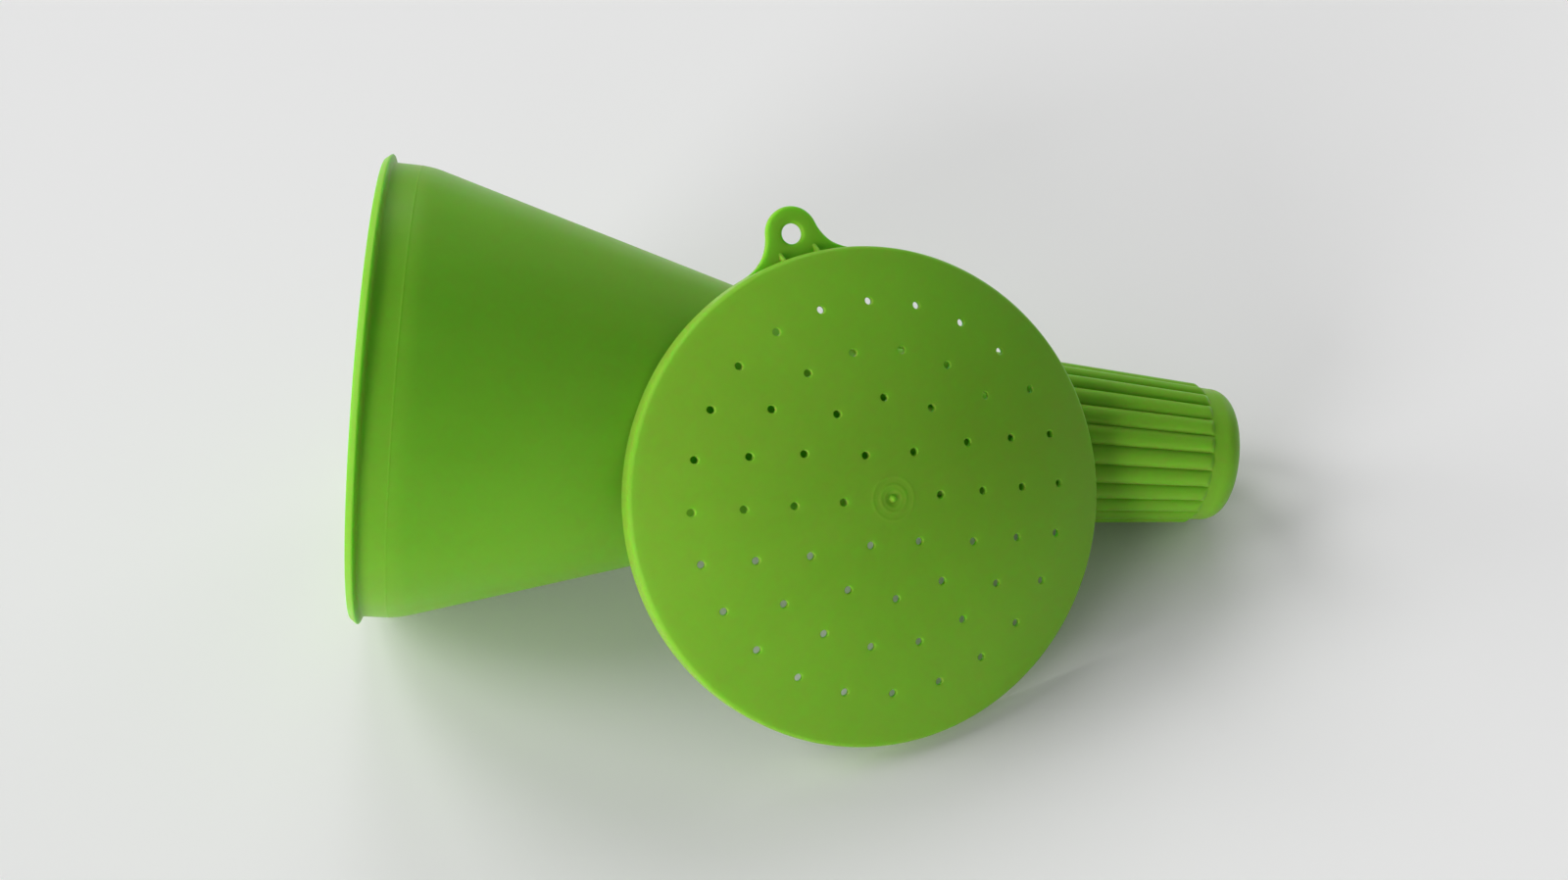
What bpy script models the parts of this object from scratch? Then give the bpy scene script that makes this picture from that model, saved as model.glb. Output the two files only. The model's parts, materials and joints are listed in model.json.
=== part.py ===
"""Hand powder duster: a conical container with a ribbed hollow grip, and its perforated push-on lid.

Two mouldings in one green plastic. Metres, +Z up. The container lies on its mouth bead and on the ends
of its grip ribs, mouth towards -X and grip towards +X. The lid is off: it stands on the edge of its
skirt in front (-Y) and leans back on the container. The origin is the middle of the whole object's
footprint, on the surface that it lies on.
"""
from math import atan2, cos, pi, radians, sin, sqrt, tau

import bmesh
import bpy
from mathutils import Matrix, Vector

# ---- container: radii, and depths measured along the axis from the mouth ----
LENGTH = 0.2964
WALL = 0.0019
BEAD_R = 0.0778
BEAD_FACE_R = 0.0762       # where the flat mouth face ends and the bead's lead-in slope starts
BEAD_SLOPE = 0.0020        # depth at which the lead-in slope reaches the bead's full radius
BEAD_BACK = 0.0025         # depth of the back edge of the bead's rim
BEAD_FOOT = 0.0035         # depth at which the bead's sloping back meets the collar
COLLAR_R = 0.0752
CREASE_DEPTH = 0.0150      # the collar turns into the cone here
CREASE_R = 0.0750
CONE_DEPTH = 0.1604        # the cone meets the grip here
CONE_END_R = 0.0323
RIB_START = 0.1550
RIB_END = 0.2852
GRIP_END_R = 0.0232        # grip surface under the ribs, at their ends
END_CORNER = 0.0070        # rounding of the closed end

# ---- grip ribs ----
RIB_COUNT = 24
RIB_HEIGHT = 0.0014
RIB_ROOT = 0.0006          # how far a rib is sunk into the wall
RIB_FILL = 0.41            # half width of a rib, as a share of the pitch at its foot

# ---- lid: heights measured along its axis from the edge of the skirt ----
LID_R = 0.0800
LID_HEIGHT = 0.0267
LID_WALL = 0.0018
DOME_R = 0.1818
EDGE_ROUND = 0.0026
HOLE_R = 0.0012
HOLE_RINGS = ((6, 0.0161), (12, 0.0314), (18, 0.0466), (24, 0.0620))
DRILL_LENGTH = 0.0300
HOLE_TURN = radians(17.2)  # from the ear's direction to the line on which every ring has a hole

# ---- hanging ear, level with the edge of the skirt ----
EAR_HOLE_AT = 0.0873
EAR_HOLE_R = 0.0033
EAR_R = 0.0088
EAR_FLARE = 0.0145         # hollow radius from the ear's side into the skirt
EAR_THICK = 0.0026
GUSSET_AT = 0.0059         # two webs between ear and skirt, either side of the ear's middle
GUSSET_THICK = 0.0012
GUSSET_REACH = 0.0024
GUSSET_TOP = 0.0064

# ---- how the two pieces lie ----
LID_RISE = radians(41.3)   # the lid's axis above the horizontal
LID_HEADING = radians(23.49)
LID_ROLL = radians(-2.8)
LID_ALONG = 0.1606         # skirt centre from the mouth's centre, along X and Y
LID_ASIDE = -0.04575

# ---- fineness ----
CONTAINER_STEPS = 72
LID_STEPS = 72
HOLE_STEPS = 8
EYE_STEPS = 20
RIB_STEPS = 12
CORNER_STEPS = 5
DOME_STEPS = 7
EAR_STEPS = 8
MERGE = 0.00001

PLASTIC = (0.19, 0.43, 0.022, 1.0)
PLASTIC_ROUGHNESS = 0.38


def clear_scene():
    for thing in list(bpy.data.objects):
        bpy.data.objects.remove(thing, do_unlink=True)


def new_collection(name):
    collection = bpy.data.collections.new(name)
    bpy.context.scene.collection.children.link(collection)
    return collection


def plastic(name):
    material = bpy.data.materials.new(name)
    material.use_nodes = True
    shader = material.node_tree.nodes["Principled BSDF"]
    shader.inputs["Base Color"].default_value = PLASTIC
    shader.inputs["Roughness"].default_value = PLASTIC_ROUGHNESS
    shader.inputs["Metallic"].default_value = 0.0
    material.diffuse_color = PLASTIC
    return material


def mesh_object(name, bm, collection):
    mesh = bpy.data.meshes.new(name)
    bm.to_mesh(mesh)
    bm.free()
    thing = bpy.data.objects.new(name, mesh)
    collection.objects.link(thing)
    return thing


def arc(centre_r, centre_z, radius, start, end, steps):
    """Points of an arc in the (r, z) plane, angles from +r towards +z, both ends included."""
    angles = [start + (end - start) * i / steps for i in range(steps + 1)]
    return [(centre_r + radius * cos(a), centre_z + radius * sin(a)) for a in angles]


def turned(name, profile, steps, collection):
    """A profile of (r, z) points turned about Z; it runs down the outer side, top to bottom."""
    bm = bmesh.new()
    points = [bm.verts.new((r, 0.0, z)) for r, z in profile]
    for first, second in zip(points, points[1:]):
        bm.edges.new((first, second))
    thing = mesh_object(name, bm, collection)
    screw = thing.modifiers.new("turn", "SCREW")
    screw.axis = "Z"
    screw.angle = tau
    screw.steps = steps
    screw.render_steps = steps
    screw.use_merge_vertices = True
    screw.merge_threshold = MERGE
    screw.use_smooth_shade = True
    return thing


def combine(thing, tool, operation):
    """Joins a tool shape to an object, or cuts it out, and hides the tool."""
    boolean = thing.modifiers.new(f"{operation.lower()} {tool.name}", "BOOLEAN")
    boolean.operation = operation
    boolean.solver = "EXACT"
    boolean.object = tool
    tool.parent = thing
    tool.hide_render = True
    tool.display_type = "WIRE"


# ---- container ----

def container_profile():
    """Inside from the floor up to the mouth, then the bead, collar, cone and grip down to the end."""
    end_flat_r = GRIP_END_R - END_CORNER
    inner_corner = END_CORNER - WALL
    floor = WALL - LENGTH
    inside = [(0.0, floor)]
    inside += arc(end_flat_r, floor + inner_corner, inner_corner, -pi / 2, 0.0, CORNER_STEPS)
    inside += [(CONE_END_R - WALL, -CONE_DEPTH + WALL)]
    inside += [(CREASE_R - WALL, -CREASE_DEPTH)]
    inside += [(COLLAR_R - WALL, 0.0)]
    outside = [(BEAD_FACE_R, 0.0), (BEAD_R, -BEAD_SLOPE)]
    outside += [(BEAD_R, -BEAD_BACK), (COLLAR_R, -BEAD_FOOT)]
    outside += [(CREASE_R, -CREASE_DEPTH), (CONE_END_R, -CONE_DEPTH)]
    outside += arc(end_flat_r, END_CORNER - LENGTH, END_CORNER, 0.0, -pi / 2, CORNER_STEPS)
    outside += [(0.0, -LENGTH)]
    return inside + outside


def grip_radius(depth):
    """Radius of the grip's surface between the ribs."""
    share = (depth - CONE_DEPTH) / (RIB_END - CONE_DEPTH)
    return CONE_END_R + share * (GRIP_END_R - CONE_END_R)


def grip_ribs(collection):
    """Half-round ribs along the grip, narrowing with it, as one tool shape."""
    bm = bmesh.new()
    for rib in range(RIB_COUNT):
        turn = Matrix.Rotation(tau * (rib + 0.5) / RIB_COUNT, 3, "Z")
        bar = bmesh.ops.create_cone(bm, cap_ends=True, segments=RIB_STEPS,
                                    radius1=1.0, radius2=1.0, depth=1.0)
        for vert in bar["verts"]:
            across, out, along = vert.co
            depth = RIB_END if along < 0.0 else RIB_START
            foot = grip_radius(depth)
            half_width = RIB_FILL * tau * foot / RIB_COUNT
            height = out * (RIB_HEIGHT if out > 0.0 else RIB_ROOT)
            vert.co = turn @ Vector((foot + height, half_width * -across, -depth))
    return mesh_object("grip_ribs", bm, collection)


def make_container(parts, tools, material):
    container = turned("container", container_profile(), CONTAINER_STEPS, parts)
    container.data.materials.append(material)
    combine(container, grip_ribs(tools), "UNION")
    return container


# ---- lid ----

def dome_arc(radius, reach, steps):
    """Arc of the dome from the lid's axis out to a radius; both dome surfaces share one centre."""
    centre_z = LID_HEIGHT - DOME_R
    return [(radius * sin(reach * i / steps), centre_z + radius * cos(reach * i / steps))
            for i in range(steps + 1)]


def edge_round_angle():
    """Angle at the dome's centre where its outer arc runs into the rounded edge."""
    offset_r = LID_R - EDGE_ROUND
    return atan2(offset_r, sqrt((DOME_R - EDGE_ROUND) ** 2 - offset_r ** 2))


def lid_profile():
    """Dome, rounded edge and skirt on the outside, then the same surfaces on the inside."""
    turn = edge_round_angle()
    round_r = LID_R - EDGE_ROUND
    round_z = LID_HEIGHT - DOME_R + sqrt((DOME_R - EDGE_ROUND) ** 2 - round_r ** 2)
    outside = dome_arc(DOME_R, turn, DOME_STEPS)[:-1]
    outside += arc(round_r, round_z, EDGE_ROUND, pi / 2 - turn, 0.0, CORNER_STEPS)
    outside += [(LID_R, 0.0)]
    inside_r = LID_R - LID_WALL
    inner_dome = DOME_R - LID_WALL
    inner_turn = atan2(inside_r, sqrt(inner_dome ** 2 - inside_r ** 2))
    inside = [(inside_r, 0.0)] + dome_arc(inner_dome, inner_turn, DOME_STEPS)[::-1]
    return outside + inside


def hole_cutters(collection):
    """Straight drills parallel to the lid's axis, in rings, as one tool shape."""
    bm = bmesh.new()
    for count, ring_r in HOLE_RINGS:
        for hole in range(count):
            angle = HOLE_TURN + tau * hole / count
            spot = Vector((-ring_r * sin(angle), ring_r * cos(angle), LID_HEIGHT))
            bmesh.ops.create_cone(bm, cap_ends=True, segments=HOLE_STEPS, radius1=HOLE_R, radius2=HOLE_R,
                                  depth=DRILL_LENGTH, matrix=Matrix.Translation(spot))
    return mesh_object("lid_drills", bm, collection)


def ear_outline():
    """Round tab end with a hollow flare on each side that runs out on the skirt."""
    far = LID_R + EAR_FLARE
    reach = EAR_R + EAR_FLARE
    flare_y = (far ** 2 - reach ** 2 + EAR_HOLE_AT ** 2) / (2 * EAR_HOLE_AT)
    flare_x = sqrt(far ** 2 - flare_y ** 2)
    at_skirt = atan2(-flare_y, -flare_x)
    at_tab = atan2(EAR_HOLE_AT - flare_y, -flare_x)
    flare = arc(flare_x, flare_y, EAR_FLARE, at_skirt, at_tab, EAR_STEPS)
    tab = arc(0.0, EAR_HOLE_AT, EAR_R, at_tab + pi, pi / 2, EAR_STEPS)
    right = flare + tab[1:]
    left = [(-x, y) for x, y in right[-2::-1]]
    foot = atan2(flare[0][1], flare[0][0])
    inside_wall = arc(0.0, 0.0, LID_R - LID_WALL / 2, pi - foot, foot, EAR_STEPS)
    return right + left + inside_wall


def eye_outline():
    """The hanging hole through the ear."""
    return arc(0.0, EAR_HOLE_AT, EAR_HOLE_R, 0.0, tau, EYE_STEPS)[:-1]


def flat_tool(name, outlines, thickness, collection):
    """A flat plate with the given outlines, lying on z = 0, made as a mesh so that it can be joined."""
    curve = bpy.data.curves.new(name, "CURVE")
    curve.dimensions = "2D"
    curve.fill_mode = "BOTH"
    curve.extrude = thickness / 2
    for outline in outlines:
        spline = curve.splines.new("POLY")
        spline.points.add(len(outline) - 1)
        for point, (x, y) in zip(spline.points, outline):
            point.co = (x, y, 0.0, 1.0)
        spline.use_cyclic_u = True
    plate = bpy.data.objects.new(name, curve)
    collection.objects.link(plate)
    plate.location.z = thickness / 2
    bpy.context.view_layer.update()
    solid = bpy.data.meshes.new_from_object(plate.evaluated_get(bpy.context.evaluated_depsgraph_get()))
    bm = bmesh.new()
    bm.from_mesh(solid)
    bmesh.ops.remove_doubles(bm, verts=bm.verts, dist=MERGE)
    bm.transform(plate.matrix_world)
    bpy.data.objects.remove(plate, do_unlink=True)
    return mesh_object(name, bm, collection)


def ear_gussets(collection):
    """Two small webs between the ear and the skirt, sloping down towards the ear's tip."""
    bm = bmesh.new()
    root_y = LID_R - LID_WALL / 2
    for side in (-1, 1):
        web = bmesh.ops.create_cube(bm, size=1.0)
        for vert in web["verts"]:
            x, y, z = vert.co
            low = EAR_THICK / 2
            high = GUSSET_TOP if y < 0.0 else EAR_THICK + GUSSET_THICK / 2
            vert.co.x = side * GUSSET_AT + x * GUSSET_THICK
            vert.co.y = root_y if y < 0.0 else LID_R + GUSSET_REACH
            vert.co.z = low if z < 0.0 else high
    return mesh_object("ear_gussets", bm, collection)


def make_lid(parts, tools, material):
    lid = turned("lid", lid_profile(), LID_STEPS, parts)
    lid.data.materials.append(material)
    combine(lid, flat_tool("ear", [ear_outline(), eye_outline()], EAR_THICK, tools), "UNION")
    combine(lid, ear_gussets(tools), "UNION")
    combine(lid, hole_cutters(tools), "DIFFERENCE")
    return lid


# ---- how they lie ----

def lay_container(container):
    """Lays the container on the back edge of its bead and on the two lowest rib ends."""
    rib_end_r = (GRIP_END_R + RIB_HEIGHT) * cos(pi / RIB_COUNT)
    tilt = atan2(BEAD_R - rib_end_r, RIB_END - BEAD_BACK)
    container.rotation_euler.y = tilt - pi / 2
    container.location.z = BEAD_R * cos(tilt) + BEAD_BACK * sin(tilt)


def lean_lid(lid):
    """Stands the lid on the edge of its skirt and leans it back, its outer side to the front."""
    turn = (Matrix.Rotation(LID_HEADING, 4, "Z") @ Matrix.Rotation(pi / 2 - LID_RISE, 4, "X")
            @ Matrix.Rotation(LID_ROLL, 4, "Z"))
    place = Vector((LID_ALONG, LID_ASIDE, LID_R * cos(LID_RISE)))
    lid.matrix_world = Matrix.Translation(place) @ turn


def centre_on_floor(root, pieces):
    """Hangs the pieces on the root so that the origin is the bottom centre of their common box."""
    bpy.context.view_layer.update()
    graph = bpy.context.evaluated_depsgraph_get()
    corners = []
    for piece in pieces:
        shape = piece.evaluated_get(graph)
        corners += [shape.matrix_world @ vert.co for vert in shape.data.vertices]
    low = Vector([min(point[axis] for point in corners) for axis in range(3)])
    high = Vector([max(point[axis] for point in corners) for axis in range(3)])
    middle = (low + high) / 2
    for piece in pieces:
        piece.location -= Vector((middle.x, middle.y, low.z))
        piece.parent = root
    bpy.context.view_layer.update()


def main():
    clear_scene()
    parts = new_collection("powder_duster")
    tools = new_collection("powder_duster_tools")
    material = plastic("green_plastic")
    container = make_container(parts, tools, material)
    lid = make_lid(parts, tools, material)
    lay_container(container)
    lean_lid(lid)
    root = bpy.data.objects.new("powder_duster", None)
    parts.objects.link(root)
    centre_on_floor(root, [container, lid])


main()
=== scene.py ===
"""Looks of the hand powder duster: fine meshes, moulded plastic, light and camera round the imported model.

Metres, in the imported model's frame: +Z up, the mouth towards -X, the grip towards +X. Each piece is built
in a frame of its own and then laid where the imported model's mounts say. The container's own frame has its
origin in the middle of the mouth, with Z out of the mouth. The lid's has its origin in the middle of the
skirt's edge, with Z out of the dome and Y towards the ear.
"""

import json
from math import asin, atan2, ceil, cos, hypot, pi, radians, sin, sqrt, tau

import bmesh
import bpy
from mathutils import Matrix, Vector
from mathutils.geometry import delaunay_2d_cdt


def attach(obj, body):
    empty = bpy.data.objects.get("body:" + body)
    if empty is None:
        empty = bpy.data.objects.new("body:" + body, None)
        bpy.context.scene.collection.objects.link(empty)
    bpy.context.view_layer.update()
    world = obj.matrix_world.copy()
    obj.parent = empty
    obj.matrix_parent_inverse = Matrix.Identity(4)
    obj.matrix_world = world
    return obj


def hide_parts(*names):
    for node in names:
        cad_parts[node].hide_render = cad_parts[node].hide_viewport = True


# ---- container: radii, and depths below the mouth ----
WALL = 0.0019
BEAD_R = 0.0778
BEAD_FACE_R = 0.0762         # where the flat mouth face ends and the bead's lead-in slope starts
BEAD_FACE_ROUND = 0.0007
BEAD_SLOPE = 0.0020          # depth at which the lead-in slope reaches the bead's full radius
BEAD_SLOPE_ROUND = 0.0006
BEAD_BACK = 0.0025           # depth of the back edge of the bead's rim
BEAD_EDGE = 0.0003
BEAD_FOOT = 0.0035           # depth at which the bead's sloping back meets the collar
BEAD_ROOT = 0.0008
LIP_ROUND = 0.0005
COLLAR_R = 0.0752
CREASE_DEPTH = 0.0150        # the collar turns into the cone here
CREASE_R = 0.0750
CREASE_ROUND = 0.0300
LINE_DEPTH = 0.0122          # a faint raised line round the collar
LINE_WIDTH = 0.0005
LINE_HEIGHT = 0.00007
CONE_DEPTH = 0.1604          # the cone meets the grip here
CONE_END_R = 0.0323
CONE_END_ROUND = 0.0015
CONE_END_ROUND_INSIDE = 0.0080
GRIP_END_R = 0.0232
TAPER_END = 0.2888           # the grip's taper ends here, just short of the end's rounding
END_CORNER = 0.0070
END_FAN_R = 0.0040           # inside this radius the closed end is a fan of triangles

# ---- grip ribs ----
RIB_COUNT = 24
RIB_HEIGHT = 0.0014
RIB_START = 0.1525
RIB_END = 0.2852
RIB_FADE = 0.0020            # length over which a rib's end rounds down
RIB_WIDTH = 0.95             # rib width, as a share of the pitch
RIB_POWER = 0.66             # fullness of a rib's section: 0.5 is an ellipse, more is slimmer
RIB_FILLET = 0.00022
GROOVE_DEPTH = 0.0003        # how far the grooves between the ribs are sunk into the grip
GROOVE_START = 0.0040        # length over which the grooves reach that depth
RIB_SPLITS = 14              # segments across a rib
GROOVE_SPLITS = 3            # segments across the groove beside it

# ---- longest steps between the container's rings ----
RIB_ROOT_STEP = 0.0005       # where the ribs rise out of the cone
RIB_END_STEP = 0.00018       # where they round down at the grip's end
RIB_END_MARGIN = 0.0002      # how far past the ribs' ends those short steps go on
LINE_STEP = 0.0001           # over the faint line round the collar
PLAIN_STEP = 0.006           # over the rest of the outside
END_STEP = 0.001             # past the ribs' ends
INSIDE_STEP = 0.008

# ---- lid: heights above the edge of the skirt ----
LID_R = 0.0800
LID_HEIGHT = 0.0267
LID_WALL = 0.0018
DOME_R = 0.1818
EDGE_ROUND = 0.0026
SKIRT_LIP = 0.0004           # rounding of the skirt's edge
INNER_FILLET = 0.0012
DISC_R = 0.0740              # inside this radius the dome is a sheet with holes, outside it is turned
LID_SPLITS = 288
DOME_RIM_STEPS = 2           # rings between that radius and the dome's rounded edge
EDGE_ROUND_STEPS = 10
SKIRT_SHARES = (0.66, 0.33)  # heights of the rings on the skirt, as shares of its height
SKIRT_LIP_STEPS = 5
INNER_FILLET_STEPS = 6

# ---- powder holes ----
HOLE_R = 0.00120
HOLE_RINGS = ((6, 0.0161), (12, 0.0314), (18, 0.0466), (24, 0.0620))  # count and ring radius
HOLE_TURN = radians(17.2)    # from the ear's direction to each ring's first hole
HOLE_SPLITS = 20
HOLE_ROUND = 0.00030         # rounding of a hole's outer edge
HOLE_ROUND_STEPS = 4
HOLE_BREAK = 0.00012         # rounding of its inner edge

# ---- how close the loose points of the holed sheets are ----
HOLE_NEAR = 0.00045          # distance of the first ring of points from a hole's edge
HOLE_FAR = 0.00115           # distance of the second
HOLE_FAR_SPLITS = 16
HOLE_CLEAR = 0.00175         # other points keep this far from a hole's edge
OUTER_SPACING = 0.0022
INNER_SPACING = 0.0030
FEWEST_IN_RING = 8
GATE_SPACING = 0.0004
GATE_STEPS = 30              # rings of points over the sprue's mark
GATE_FEWEST_IN_RING = 10
SAME_POINT = 0.0001          # points closer together than this many millimetres are one

# ---- mark of the sprue in the middle of the dome ----
GATE_NUB_R = 0.0009
GATE_NUB_FOOT = 1.5          # radius at which the nub has run out, in nub radii
GATE_NUB_HEIGHT = 0.0012
GATE_DISH_R = 0.0030
GATE_DISH_FLANK = 0.6        # width of the dish's flank, as a share of its radius
GATE_DISH_DEPTH = 0.00060
GATE_RINGS = ((0.0042, 0.00014), (0.0068, 0.00010))  # radius and height of each faint ring
GATE_RING_WIDTH = 0.0009

# ---- hanging ear ----
EAR_HOLE_AT = 0.0873         # distance of the ear's hole from the lid's axis
EAR_HOLE_R = 0.0033
EAR_R = 0.0088
EAR_FLARE = 0.0145           # radius of the hollow flare on each side
EAR_THICK = 0.0026
EAR_SPLITS = 24              # segments in each arc of the ear's outline
EAR_ROUND = 0.0012
EAR_ROUND_LEAST = 0.0001     # what is left of that rounding on the skirt
EAR_ROUND_GROWTH = 0.5       # how fast it grows with the distance from the skirt
EAR_ROUND_STEPS = 6
EYE_ROUND = 0.0012
EYE_SPLITS = 48
GUSSET_AT = 0.0059           # distance of each web from the ear's middle
GUSSET_THICK = 0.0012
GUSSET_REACH = 0.0024        # how far the webs reach out from the skirt
GUSSET_TOP = 0.0064          # how high they stand on the skirt
GUSSET_ROUND = 0.0003
GUSSET_ROUND_STEPS = 3

# ---- where the mounts lie in each piece's own frame ----
MOUNT_TURN = radians(2.5)    # how far they are turned out of the plane through the axis
RIM_MOUNT_R = 0.0750
EDGE_MOUNT_R = 0.0791

# ---- meshing of both pieces ----
MM = 0.001
TURN_STEP = radians(9.0)     # largest turn between two rings of a rounded corner
FEWEST_TURN_STEPS = 4
ROUND_UP = 0.49              # added before rounding: rounds up what is 0.01 or more past a whole number
SHARP_ANGLE = radians(38.0)  # edges that turn more than this stay creased


# ---- profiles and small helpers ----

def arc(centre, radius, start, end, steps):
    """Points of an arc in a plane, angles from the first axis to the second, both ends included."""
    angles = [start + (end - start) * i / steps for i in range(steps + 1)]
    return [Vector((centre[0] + radius * cos(a), centre[1] + radius * sin(a))) for a in angles]


def rounded_path(corners):
    """A line of (r, z, rounding) corners, with an arc in place of each corner that has a rounding."""
    spots = [Vector(corner[:2]) for corner in corners]
    path = [spots[0]]
    for before, spot, after, corner in zip(spots, spots[1:], spots[2:], corners[1:]):
        rounding = corner[2]
        to_before = (before - spot).normalized()
        to_after = (after - spot).normalized()
        half = to_before.angle(to_after) / 2
        if not rounding:
            path.append(spot)
            continue
        centre = spot + (to_before + to_after).normalized() * rounding / sin(half)
        first = spot + to_before * rounding / (sin(half) / cos(half)) - centre
        last = spot + to_after * rounding / (sin(half) / cos(half)) - centre
        turn = first.angle_signed(last)
        steps = max(FEWEST_TURN_STEPS, ceil(abs(turn) / TURN_STEP))
        for i in range(steps + 1):
            angle = -turn * i / steps
            path.append(centre + Matrix.Rotation(angle, 2) @ first)
    path.append(spots[-1])
    return path


def split_long(path, longest):
    """The same line with every straight stretch cut into equal steps, about longest(middle) at most."""
    fine = [path[0]]
    for start, end in zip(path, path[1:]):
        step = longest((start + end) / 2)
        count = max(1, round((end - start).length / step + ROUND_UP))
        fine += [start.lerp(end, i / count) for i in range(1, count + 1)]
    return fine


def ease(share):
    """0 to 1 with level ends."""
    share = min(max(share, 0.0), 1.0)
    return share * share * (3 - 2 * share)


def bridge(bm, first, second):
    """Quads between two closed rings of vertices."""
    for i in range(len(first)):
        bm.faces.new((first[i - 1], first[i], second[i], second[i - 1]))


def close_with_fan(bm, ring, tip):
    """Triangles from a closed ring of vertices to one point."""
    centre = bm.verts.new(tip)
    for i in range(len(ring)):
        bm.faces.new((ring[i - 1], ring[i], centre))


def new_object(name, bm):
    """Makes a bmesh an object of this name in the scene."""
    mesh = bpy.data.meshes.new(name)
    bm.to_mesh(mesh)
    bm.free()
    thing = bpy.data.objects.new(name, mesh)
    bpy.context.scene.collection.objects.link(thing)
    return thing


def finished(name, bm, place, material):
    """Lays a closed bmesh in its place and makes it an object, smooth apart from its real creases."""
    bmesh.ops.recalc_face_normals(bm, faces=bm.faces)
    bm.transform(place)
    piece = new_object(name, bm)
    piece.data.shade_smooth()
    piece.data.set_sharp_from_angle(angle=SHARP_ANGLE)
    piece.data.materials.append(material)
    return piece


# ---- where the pieces lie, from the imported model's mounts ----

def mount(record, name):
    """Position and axis of the mount of this name."""
    found = next(item for item in record["mounts"] if item["name"] == name)
    return Vector(found["pos_m"]), Vector(found["axis"]).normalized()


def container_place(record):
    """Where the container's own frame lies, and the container's length."""
    rim, outward = mount(record, "mouth_rim")
    end, _ = mount(record, "grip_end")
    length = (rim - end).dot(outward)
    up = (rim - end - outward * length).normalized()
    up = Matrix.Rotation(-MOUNT_TURN, 3, outward) @ up
    centre = rim - (Matrix.Rotation(MOUNT_TURN, 3, outward) @ up) * RIM_MOUNT_R
    return frame_matrix(centre, up, outward), length


def lid_place(record):
    """Where the lid's own frame lies."""
    edge, _ = mount(record, "lid_edge")
    ear, outward = mount(record, "ear_face")
    across = (ear - edge - outward * EAR_THICK).normalized()
    centre = edge + across * EDGE_MOUNT_R
    to_ear = Matrix.Rotation(-MOUNT_TURN, 3, outward) @ across
    return frame_matrix(centre, to_ear.cross(outward), outward)


def frame_matrix(centre, x_axis, z_axis):
    """Matrix of a frame with this origin and these two axes."""
    y_axis = z_axis.cross(x_axis)
    return Matrix.Translation(centre) @ Matrix((x_axis, y_axis, z_axis)).transposed().to_4x4()


# ---- container ----

def rib_angles():
    """Angles round the axis: close together at the ribs' feet, wider on their backs."""
    pitch = tau / RIB_COUNT
    across = [-cos(pi * i / RIB_SPLITS) * RIB_WIDTH for i in range(RIB_SPLITS)]
    groove = [RIB_WIDTH + 2 * (1 - RIB_WIDTH) * i / GROOVE_SPLITS for i in range(GROOVE_SPLITS)]
    return [(rib + 0.5) * pitch + share * pitch / 2
            for rib in range(RIB_COUNT) for share in across + groove]


def rib_rise(angle):
    """Height of the ribs' section above the grip's surface, from the angle round the axis."""
    pitch = tau / RIB_COUNT
    share = abs((angle / pitch) % 1 - 0.5) * 2 / RIB_WIDTH
    full = (1 - share * share) ** RIB_POWER if share < 1 else 0.0
    return (RIB_HEIGHT + GROOVE_DEPTH) * full - GROOVE_DEPTH


def ribbed_radius(r, z, rise):
    """Radius of the outside where the turned outline has radius r, with a rib of this rise."""
    depth = -z
    if not RIB_START < depth < RIB_END:
        return r
    share = (depth - CONE_DEPTH) / (RIB_END - CONE_DEPTH)
    foot = CONE_END_R + share * (GRIP_END_R - CONE_END_R)
    over = foot + rise - r
    if over < RIB_FILLET:
        on_cone = max(0.0, over + RIB_FILLET) ** 2 / (4 * RIB_FILLET)
        over = on_cone + (over - on_cone) * ease((depth - CONE_DEPTH) / GROOVE_START)
    return r + over * sqrt(ease((RIB_END - depth) / RIB_FADE))


def container_outside(length):
    """Outline from the lip of the mouth over the bead and down to the closed end."""
    corners = [
        (COLLAR_R - WALL + LIP_ROUND, 0.0, 0.0),
        (BEAD_FACE_R, 0.0, BEAD_FACE_ROUND),
        (BEAD_R, -BEAD_SLOPE, BEAD_SLOPE_ROUND),
        (BEAD_R, -BEAD_BACK, BEAD_EDGE),
        (COLLAR_R, -BEAD_FOOT, BEAD_ROOT),
        (CREASE_R, -CREASE_DEPTH, CREASE_ROUND),
        (CONE_END_R, -CONE_DEPTH, CONE_END_ROUND),
        (GRIP_END_R, -TAPER_END, 0.0),
        (GRIP_END_R, -length, END_CORNER),
        (END_FAN_R, -length, 0.0),
    ]

    roots_end = CONE_DEPTH + GROOVE_START
    ends_start = RIB_END - 2 * RIB_FADE
    ends_end = RIB_END + RIB_END_MARGIN

    def longest(spot):
        depth = -spot[1]
        if RIB_START < depth < roots_end:
            return RIB_ROOT_STEP
        if ends_start < depth < ends_end:
            return RIB_END_STEP
        if abs(depth - LINE_DEPTH) < LINE_WIDTH:
            return LINE_STEP
        return PLAIN_STEP if depth < RIB_END else END_STEP

    path = rounded_path(corners)
    stations = [LINE_DEPTH - LINE_WIDTH, LINE_DEPTH + LINE_WIDTH,
                RIB_START, roots_end, ends_start, ends_end]
    fine = split_long(with_stations(path, stations), longest)
    return [(r + LINE_HEIGHT * ease(1 - abs(z + LINE_DEPTH) / LINE_WIDTH), z) for r, z in fine]


def with_stations(path, depths):
    """Adds a point to the line at each of these depths."""
    for depth in depths:
        for i, (start, end) in enumerate(zip(path, path[1:])):
            if -start[1] < depth < -end[1]:
                share = (-depth - start[1]) / (end[1] - start[1])
                path = path[:i + 1] + [start.lerp(end, share)] + path[i + 1:]
                break
    return path


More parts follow.
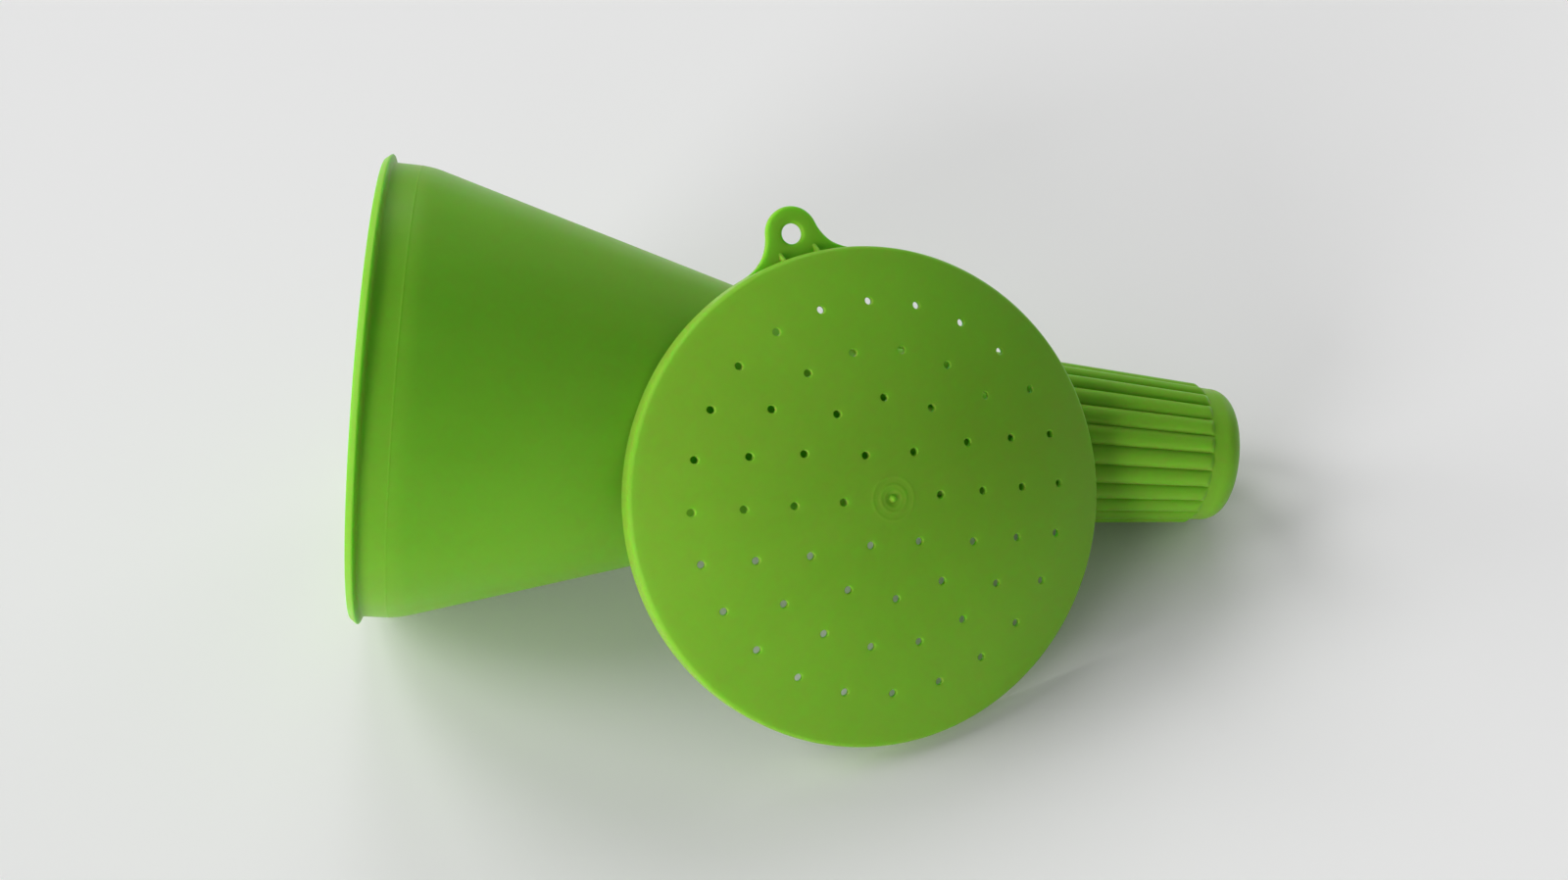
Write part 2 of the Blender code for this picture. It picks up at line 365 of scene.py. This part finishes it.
def container_inside(length):
    """Outline from the middle of the grip's floor up to the lip of the mouth."""
    floor = WALL - length
    corners = [
        (END_FAN_R, floor, 0.0),
        (GRIP_END_R - WALL, floor, END_CORNER - WALL),
        (CONE_END_R - WALL, WALL - CONE_DEPTH, CONE_END_ROUND_INSIDE),
        (CREASE_R - WALL, -CREASE_DEPTH, CREASE_ROUND),
        (COLLAR_R - WALL, 0.0, LIP_ROUND),
        (COLLAR_R - WALL + LIP_ROUND, 0.0, 0.0),
    ]
    return split_long(rounded_path(corners)[:-1], lambda spot: INSIDE_STEP)


def make_container(place, length, material):
    """The whole moulding as one closed skin of rings round the axis."""
    bm = bmesh.new()
    angles = rib_angles()
    rises = [rib_rise(angle) for angle in angles]
    rings = []
    for r, z in container_inside(length):
        rings.append([bm.verts.new((r * cos(a), r * sin(a), z)) for a in angles])
    for r, z in container_outside(length):
        ring = []
        for a, rise in zip(angles, rises):
            radius = ribbed_radius(r, z, rise)
            ring.append(bm.verts.new((radius * cos(a), radius * sin(a), z)))
        rings.append(ring)
    for first, second in zip(rings, rings[1:]):
        bridge(bm, first, second)
    close_with_fan(bm, rings[0], (0.0, 0.0, WALL - length))
    close_with_fan(bm, rings[-1], (0.0, 0.0, -length))
    return finished("container_moulding", bm, place, material)


# ---- lid ----

def dome_height(x, y, radius):
    """Height of a dome surface; the outer and the inner one share a centre."""
    return LID_HEIGHT - DOME_R + sqrt(radius ** 2 - x * x - y * y)


def gate_height(x, y):
    """Small relief round the middle of the dome: the sprue's stump in a dish, and two faint rings."""
    r = hypot(x, y)
    nub = GATE_NUB_HEIGHT * ease(GATE_NUB_FOOT - r / GATE_NUB_R)
    dish = GATE_DISH_DEPTH * ease((GATE_DISH_R - r) / (GATE_DISH_FLANK * GATE_DISH_R))
    rings = sum(high * ease(1 - abs(r - at) / GATE_RING_WIDTH) for at, high in GATE_RINGS)
    return nub - dish + rings


def hole_spots():
    """Centres of the powder holes, seen along the lid's axis."""
    spots = []
    for count, ring_r in HOLE_RINGS:
        for hole in range(count):
            angle = HOLE_TURN + tau * hole / count
            spots.append(Vector((-ring_r * sin(angle), ring_r * cos(angle))))
    return spots


def circle(centre, radius, count):
    """Points evenly spread on a circle."""
    return [Vector((centre[0] + radius * cos(tau * i / count), centre[1] + radius * sin(tau * i / count)))
            for i in range(count)]


def sheet_points(holes, edge_r, spacing, gate):
    """Loose points of a holed sheet: rings round each hole, over the sprue's mark, and over the rest."""
    points = []
    for hole in holes:
        points += circle(hole, edge_r + HOLE_NEAR, HOLE_SPLITS)
        points += circle(hole, edge_r + HOLE_FAR, HOLE_FAR_SPLITS)
    clear = edge_r + HOLE_CLEAR
    inner = 0.0
    if gate:
        inner = GATE_RINGS[-1][0] + GATE_RING_WIDTH
        for i in range(1, GATE_STEPS + 1):
            r = inner * i / GATE_STEPS
            points += circle((0.0, 0.0), r, max(GATE_FEWEST_IN_RING, round(tau * r / GATE_SPACING)))
    rings = round((DISC_R - inner) / spacing)
    for i in range(1, rings):
        r = inner + (DISC_R - inner) * i / rings
        around = circle((0.0, 0.0), r, max(FEWEST_IN_RING, round(tau * r / spacing)))
        points += [spot for spot in around if all((spot - hole).length > clear for hole in holes)]
    points.append(Vector((0.0, 0.0)))
    return points


def holed_sheet(bm, holes, edge_r, spacing, gate, height):
    """A round sheet with a round gap at each hole. Returns its outer ring and the ring at each hole."""
    border = circle((0.0, 0.0), DISC_R, LID_SPLITS)
    loops = [border] + [circle(hole, edge_r, HOLE_SPLITS) for hole in holes]
    points = []
    edges = []
    spans = []
    for loop in loops:
        start = len(points)
        points += loop
        spans.append((start, len(loop)))
        edges += [(start + i, start + (i + 1) % len(loop)) for i in range(len(loop))]
    points += sheet_points(holes, edge_r, spacing, gate)
    scaled = [point / MM for point in points]
    spots, _, faces, origins, _, _ = delaunay_2d_cdt(scaled, edges, [], 0, SAME_POINT, True)
    verts = [bm.verts.new((x * MM, y * MM, height(x * MM, y * MM))) for x, y in spots]
    at = {old: new for new, olds in enumerate(origins) for old in olds}
    ring_of = {}
    for number, (start, count) in enumerate(spans):
        for i in range(count):
            ring_of[at[start + i]] = number
    for face in faces:
        rings = {ring_of.get(corner, 0) for corner in face}
        if len(rings) == 1 and rings != {0}:
            continue
        bm.faces.new([verts[corner] for corner in face])
    return [[verts[at[start + i]] for i in range(count)] for start, count in spans]


def hole_wall(bm, hole, outer, inner):
    """Rounded outer edge, straight bore and broken inner edge of one hole."""
    rows = [outer]
    for i in range(1, HOLE_ROUND_STEPS + 1):
        turn = pi / 2 * i / HOLE_ROUND_STEPS
        rows.append(hole_row(bm, hole, HOLE_R + HOLE_ROUND * (1 - sin(turn)),
                             HOLE_ROUND * (1 - cos(turn)), DOME_R))
    rows.append(hole_row(bm, hole, HOLE_R, -HOLE_BREAK, DOME_R - LID_WALL))
    rows.append(inner)
    for first, second in zip(rows, rows[1:]):
        bridge(bm, first, second)


def hole_row(bm, hole, radius, depth, dome):
    """A ring of vertices round a hole, at a depth below a dome surface."""
    return [bm.verts.new((spot[0], spot[1], dome_height(spot[0], spot[1], dome) - depth))
            for spot in circle(hole, radius, HOLE_SPLITS)]


def lid_rim():
    """Outline from the dome's sheet over the rounded edge and the skirt, round to the inner sheet."""
    offset_r = LID_R - EDGE_ROUND
    turn = asin(offset_r / (DOME_R - EDGE_ROUND))
    start = asin(DISC_R / DOME_R)
    centre = (0.0, LID_HEIGHT - DOME_R)
    path = arc(centre, DOME_R, pi / 2 - start, pi / 2 - turn, DOME_RIM_STEPS)[:-1]
    round_z = centre[1] + sqrt((DOME_R - EDGE_ROUND) ** 2 - offset_r ** 2)
    path += arc((offset_r, round_z), EDGE_ROUND, pi / 2 - turn, 0.0, EDGE_ROUND_STEPS)
    path += [Vector((LID_R, round_z * share)) for share in SKIRT_SHARES]
    path += arc((LID_R - SKIRT_LIP, SKIRT_LIP), SKIRT_LIP, 0.0, -pi / 2, SKIRT_LIP_STEPS)
    inner_r = LID_R - LID_WALL
    path += arc((inner_r + SKIRT_LIP, SKIRT_LIP), SKIRT_LIP, -pi / 2, -pi, SKIRT_LIP_STEPS)
    inner_dome = DOME_R - LID_WALL
    fillet_r = inner_r - INNER_FILLET
    fillet_z = centre[1] + sqrt((inner_dome - INNER_FILLET) ** 2 - fillet_r ** 2)
    inner_turn = asin(fillet_r / (inner_dome - INNER_FILLET))
    path += [Vector((inner_r, fillet_z / 2))]
    path += arc((fillet_r, fillet_z), INNER_FILLET, 0.0, pi / 2 - inner_turn, INNER_FILLET_STEPS)
    inner_start = asin(DISC_R / inner_dome)
    path += arc(centre, inner_dome, pi / 2 - inner_turn, pi / 2 - inner_start, DOME_RIM_STEPS)[1:]
    return path


def make_shell():
    """Dome with its holes, rounded edge and skirt, as one closed skin."""
    bm = bmesh.new()
    holes = hole_spots()
    outer = holed_sheet(bm, holes, HOLE_R + HOLE_ROUND, OUTER_SPACING, True,
                        lambda x, y: dome_height(x, y, DOME_R) + gate_height(x, y))
    inner = holed_sheet(bm, holes, HOLE_R + HOLE_BREAK, INNER_SPACING, False,
                        lambda x, y: dome_height(x, y, DOME_R - LID_WALL))
    rings = [outer[0]]
    for r, z in lid_rim()[1:-1]:
        rings.append([bm.verts.new((spot[0], spot[1], z)) for spot in circle((0.0, 0.0), r, LID_SPLITS)])
    rings.append(inner[0])
    for first, second in zip(rings, rings[1:]):
        bridge(bm, first, second)
    for hole, first, second in zip(holes, outer[1:], inner[1:]):
        hole_wall(bm, hole, first, second)
    bmesh.ops.recalc_face_normals(bm, faces=bm.faces)
    return bm


def ear_outline():
    """Round tab end with a hollow flare on each side that runs out on the skirt."""
    far = LID_R + EAR_FLARE
    reach = EAR_R + EAR_FLARE
    flare_y = (far ** 2 - reach ** 2 + EAR_HOLE_AT ** 2) / (2 * EAR_HOLE_AT)
    flare_x = sqrt(far ** 2 - flare_y ** 2)
    at_skirt = atan2(-flare_y, -flare_x)
    at_tab = atan2(EAR_HOLE_AT - flare_y, -flare_x)
    flare = arc((flare_x, flare_y), EAR_FLARE, at_skirt, at_tab, EAR_SPLITS)
    tab = arc((0.0, EAR_HOLE_AT), EAR_R, at_tab + pi, pi / 2, EAR_SPLITS)
    right = flare + tab[1:]
    left = [Vector((-x, y)) for x, y in right[-2::-1]]
    foot = atan2(flare[0][1], flare[0][0])
    inside_wall = arc((0.0, 0.0), LID_R - LID_WALL / 2, pi - foot, foot, EAR_SPLITS)
    return right + left + inside_wall


def outward_normals(loop):
    """For each point of a closed line that runs anticlockwise, the direction away from its inside."""
    normals = []
    for i, spot in enumerate(loop):
        along = (loop[(i + 1) % len(loop)] - spot).normalized() + (spot - loop[i - 1]).normalized()
        normals.append(Vector((along[1], -along[0])).normalized())
    return normals


def rounded_wall(bm, loop, roundings, thickness):
    """Side of a plate along a closed line, with rounded edges. Returns its lower and its upper ring."""
    normals = outward_normals(loop)
    quarter = [pi / 2 * i / EAR_ROUND_STEPS for i in range(EAR_ROUND_STEPS + 1)]
    rows = []
    for turn in quarter:
        rows.append([bm.verts.new((*(spot - n * b * (1 - sin(turn))), b * (1 - cos(turn))))
                     for spot, n, b in zip(loop, normals, roundings)])
    for turn in reversed(quarter):
        rows.append([bm.verts.new((*(spot - n * b * (1 - sin(turn))), thickness - b * (1 - cos(turn))))
                     for spot, n, b in zip(loop, normals, roundings)])
    for first, second in zip(rows, rows[1:]):
        bridge(bm, first, second)
    return rows[0], rows[-1]


def make_ear():
    """The ear as a closed plate with a round hole; its edges' rounding fades out on the skirt."""
    bm = bmesh.new()
    outline = ear_outline()
    roundings = [min(EAR_ROUND, max(EAR_ROUND_LEAST, EAR_ROUND_GROWTH * (spot.length - LID_R)))
                 for spot in outline]
    low, high = rounded_wall(bm, outline, roundings, EAR_THICK)
    eye = circle((0.0, EAR_HOLE_AT), EAR_HOLE_R, EYE_SPLITS)[::-1]
    eye_low, eye_high = rounded_wall(bm, eye, [EYE_ROUND] * len(eye), EAR_THICK)
    for rings in ((low, eye_low), (high, eye_high)):
        edges = []
        for ring in rings:
            edges += [bm.edges.get((ring[i - 1], ring[i])) for i in range(len(ring))]
        bmesh.ops.triangle_fill(bm, edges=edges, use_beauty=True)
    bmesh.ops.recalc_face_normals(bm, faces=bm.faces)
    return bm


def make_gusset(side):
    """One of the two webs between ear and skirt, sloping down towards the ear's tip."""
    bm = bmesh.new()
    bmesh.ops.create_cube(bm, size=1.0)
    root_y = LID_R - LID_WALL / 2
    for vert in bm.verts:
        x, y, z = vert.co
        high = GUSSET_TOP if y < 0.0 else EAR_THICK + GUSSET_ROUND
        vert.co.x = side * GUSSET_AT + x * GUSSET_THICK
        vert.co.y = root_y if y < 0.0 else LID_R + GUSSET_REACH
        vert.co.z = EAR_THICK / 2 if z < 0.0 else high
    bmesh.ops.bevel(bm, geom=bm.edges[:], offset=GUSSET_ROUND, segments=GUSSET_ROUND_STEPS,
                    affect="EDGES")
    return bm


def make_lid(place, material):
    """Shell, ear and webs joined into one closed skin."""
    shell = new_object("lid_shell", make_shell())
    extras = [new_object("lid_ear", make_ear())]
    extras += [new_object(f"lid_web_{side}", make_gusset(side)) for side in (-1, 1)]
    for extra in extras:
        union = shell.modifiers.new(extra.name, "BOOLEAN")
        union.operation = "UNION"
        union.solver = "EXACT"
        union.object = extra
    graph = bpy.context.evaluated_depsgraph_get()
    graph.update()
    bm = bmesh.new()
    bm.from_object(shell, graph)
    for thing in [shell] + extras:
        bpy.data.objects.remove(thing, do_unlink=True)
    return finished("lid_moulding", bm, place, material)


# ---- material ----

CONTAINER_GREENS = ((0.200, 0.440, 0.030), (0.218, 0.470, 0.035))
LID_GREENS = ((0.212, 0.424, 0.030), (0.232, 0.452, 0.035))
GREEN_STOPS = (0.30, 0.70)   # noise values at which those two greens are reached
CONTAINER_GLOW = 0.0055      # how deep green light goes into the container's plastic
LID_GLOW = 0.008             # and into the lid's
GLOW_SHARES = (0.07, 1.0, 0.06)  # shares of that depth that red, green and blue light go
PLASTIC_IOR = 1.25
SPECULAR_LEVEL = 0.5
SPECULAR_TINT = (0.85, 1.0, 0.4, 1.0)
ROUGHNESSES = ((0.35, 0.35, 0.35), (0.45, 0.45, 0.45))
ROUGHNESS_STOPS = (0.25, 0.75)

# ---- noises of the plastic: scale, detail and stretch ----
EVEN = (1.0, 1.0, 1.0)
MOTTLE = (24.0, 3.0, EVEN)
LONG_STREAKS = (90.0, 4.0, (1.0, 1.0, 0.12))
RADIAL_STREAKS = (7.0, 6.0, EVEN)
RADIAL_BREAKS = (40.0, 2.0, EVEN)
GRAIN = (1400.0, 2.0, EVEN)
WAVES = (110.0, 1.0, EVEN)
BREAKS_SHARE = 0.4           # share of the breaks in the radial streaks
STREAKS_SHARE = 0.5          # share of the streaks in the mottled colour
GRAIN_HEIGHT = 0.00004
WAVE_HEIGHT = 0.00025
BUMP_STRENGTH = 0.25


def plastic(name, place, greens, depth, radial):
    """Semi-gloss moulded polypropylene, into which green light goes this deep, and red and blue less.

    Its faint streaks run out from the middle if it is radial, and along the piece's axis if it isn't.
    """
    material = bpy.data.materials.new(name)
    material.use_nodes = True
    nodes = material.node_tree.nodes
    links = material.node_tree.links
    shader = nodes["Principled BSDF"]
    shader.inputs["IOR"].default_value = PLASTIC_IOR
    shader.inputs["Specular IOR Level"].default_value = SPECULAR_LEVEL
    shader.inputs["Specular Tint"].default_value = SPECULAR_TINT
    shader.inputs["Metallic"].default_value = 0.0
    shader.inputs["Subsurface Weight"].default_value = 1.0
    shader.inputs["Subsurface Radius"].default_value = GLOW_SHARES
    shader.inputs["Subsurface Scale"].default_value = depth

    coordinates = nodes.new("ShaderNodeTexCoord")
    local = nodes.new("ShaderNodeMapping")
    local.vector_type = "TEXTURE"
    local.inputs["Location"].default_value = place.translation
    local.inputs["Rotation"].default_value = place.to_euler()
    links.new(coordinates.outputs["Object"], local.inputs["Vector"])

    def noise(source, look):
        scale, detail, stretch = look
        mapping = nodes.new("ShaderNodeMapping")
        mapping.inputs["Scale"].default_value = stretch
        links.new(source, mapping.inputs["Vector"])
        texture = nodes.new("ShaderNodeTexNoise")
        texture.inputs["Scale"].default_value = scale
        texture.inputs["Detail"].default_value = detail
        links.new(mapping.outputs["Vector"], texture.inputs["Vector"])
        return texture.outputs["Fac"]

    def vector_math(operation, first, second=None):
        node = nodes.new("ShaderNodeVectorMath")
        node.operation = operation
        links.new(first, node.inputs[0])
        if second:
            node.inputs[1].default_value = second
        return node.outputs["Vector"]

    def blend(first, second, share):
        node = nodes.new("ShaderNodeMix")
        node.inputs["Factor"].default_value = share
        links.new(first, node.inputs["A"])
        links.new(second, node.inputs["B"])
        return node.outputs["Result"]

    def ramp(value, positions, colours):
        ramp_node = nodes.new("ShaderNodeValToRGB")
        for element, position, colour in zip(ramp_node.color_ramp.elements, positions, colours):
            element.position = position
            element.color = (*colour, 1.0)
        links.new(value, ramp_node.inputs["Fac"])
        return ramp_node.outputs["Color"]

    def bump(value, height, normal=None):
        node = nodes.new("ShaderNodeBump")
        node.inputs["Strength"].default_value = BUMP_STRENGTH
        node.inputs["Distance"].default_value = height
        links.new(value, node.inputs["Height"])
        if normal:
            links.new(normal, node.inputs["Normal"])
        return node.outputs["Normal"]

    spot = local.outputs["Vector"]
    if radial:
        flat = vector_math("MULTIPLY", spot, (1.0, 1.0, 0.0))
        streaks = noise(vector_math("NORMALIZE", flat), RADIAL_STREAKS)
        streaks = blend(streaks, noise(spot, RADIAL_BREAKS), BREAKS_SHARE)
    else:
        streaks = noise(spot, LONG_STREAKS)
    mottle = blend(noise(spot, MOTTLE), streaks, STREAKS_SHARE)
    links.new(ramp(mottle, GREEN_STOPS, greens), shader.inputs["Base Color"])
    links.new(ramp(streaks, ROUGHNESS_STOPS, ROUGHNESSES), shader.inputs["Roughness"])

    fine = bump(noise(spot, GRAIN), GRAIN_HEIGHT)
    broad = bump(noise(spot, WAVES), WAVE_HEIGHT, fine)
    links.new(broad, shader.inputs["Normal"])
    return material


# ---- floor, light and camera ----

FLOOR_SIZE = 60.0
WHITE = (1.0, 1.0, 1.0, 1.0)
PAPER = (0.92, 0.92, 0.92, 1.0)
PAPER_ROUGHNESS = 0.9
LIGHT_ANGLE = radians(28.0)
FILL_STRENGTH = 0.144
WALL_STRENGTH = 0.77
CAMERA_SPOT = (-0.01222, -0.45262, 0.50901)
CAMERA_TURN = (radians(45.051), radians(1.759), radians(-2.831))
CAMERA_LENS = 43.854
SENSOR_WIDTH = 36.0

# Name, heading and height in degrees, strength. Seen from the object, 180 is on the mouth's side and 270
# is in front. Most of the light comes from the left and the front left, low down.
LAMPS = (
    ("key", 225.0, 12.0, 1.89),
    ("left", 180.0, 12.0, 1.01),
    ("high_left", 180.0, 38.0, 1.01),
    ("back_left", 135.0, 38.0, 0.89),
    ("back", 90.0, 38.0, 0.52),
    ("back_right", 45.0, 12.0, 0.29),
    ("front", 270.0, 12.0, 0.16),
)


def make_floor():
    """A wide sheet of matt paper under the object, which isn't a piece of it."""
    bm = bmesh.new()
    bmesh.ops.create_grid(bm, x_segments=1, y_segments=1, size=FLOOR_SIZE / 2)
    floor = new_object("floor", bm)
    paper = bpy.data.materials.new("paper")
    paper.use_nodes = True
    shader = paper.node_tree.nodes["Principled BSDF"]
    shader.inputs["Base Color"].default_value = PAPER
    shader.inputs["Roughness"].default_value = PAPER_ROUGHNESS
    floor.data.materials.append(paper)


def soft_light(name, heading, height, strength):
    """A distant soft light at a heading and a height, both angles as seen from the object."""
    lamp = bpy.data.lights.new(name, "SUN")
    lamp.angle = LIGHT_ANGLE
    lamp.energy = strength
    toward = Matrix.Rotation(radians(heading), 3, "Z") @ Matrix.Rotation(-radians(height), 3, "Y")
    thing = bpy.data.objects.new(name, lamp)
    thing.rotation_euler = (toward @ Vector((-1.0, 0.0, 0.0))).to_track_quat("-Z", "Y").to_euler()
    bpy.context.scene.collection.objects.link(thing)


def make_surroundings():
    """Dim light from all round, in front of a wall that the camera sees as pale as the floor."""
    world = bpy.data.worlds.new("studio")
    world.use_nodes = True
    nodes = world.node_tree.nodes
    links = world.node_tree.links
    fill = nodes["Background"]
    wall = nodes.new("ShaderNodeBackground")
    for background, strength in ((fill, FILL_STRENGTH), (wall, WALL_STRENGTH)):
        background.inputs["Color"].default_value = WHITE
        background.inputs["Strength"].default_value = strength
    seen = nodes.new("ShaderNodeLightPath")
    either = nodes.new("ShaderNodeMixShader")
    links.new(seen.outputs["Is Camera Ray"], either.inputs["Fac"])
    links.new(fill.outputs["Background"], either.inputs[1])
    links.new(wall.outputs["Background"], either.inputs[2])
    links.new(either.outputs["Shader"], nodes["World Output"].inputs["Surface"])
    bpy.context.scene.world = world


def make_lights():
    """All the lamps, the dim light between them, and how bright colours are shown."""
    for lamp in LAMPS:
        soft_light(*lamp)
    make_surroundings()
    bpy.context.scene.view_settings.view_transform = "Standard"


def make_camera():
    """The camera, above and in front of the object."""
    lens = bpy.data.cameras.new("camera")
    lens.lens = CAMERA_LENS
    lens.sensor_width = SENSOR_WIDTH
    camera = bpy.data.objects.new("camera", lens)
    camera.location = CAMERA_SPOT
    camera.rotation_euler = CAMERA_TURN
    bpy.context.scene.collection.objects.link(camera)
    bpy.context.scene.camera = camera


# ---- everything together ----

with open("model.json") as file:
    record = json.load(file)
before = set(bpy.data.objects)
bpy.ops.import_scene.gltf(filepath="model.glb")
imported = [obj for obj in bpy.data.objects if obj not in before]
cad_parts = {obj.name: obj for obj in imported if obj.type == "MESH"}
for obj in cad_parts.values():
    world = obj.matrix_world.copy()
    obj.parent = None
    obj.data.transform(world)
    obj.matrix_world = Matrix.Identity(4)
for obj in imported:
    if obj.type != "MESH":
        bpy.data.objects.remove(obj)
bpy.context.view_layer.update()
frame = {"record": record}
record = frame["record"]

make_camera()
make_lights()
make_floor()

lie, container_length = container_place(record)
container_plastic = plastic("container_plastic", lie, CONTAINER_GREENS, CONTAINER_GLOW, False)
container = make_container(lie, container_length, container_plastic)
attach(container, "container")
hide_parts("container")

lean = lid_place(record)
lid_plastic = plastic("lid_plastic", lean, LID_GREENS, LID_GLOW, True)
lid = make_lid(lean, lid_plastic)
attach(lid, "lid")
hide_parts("lid")
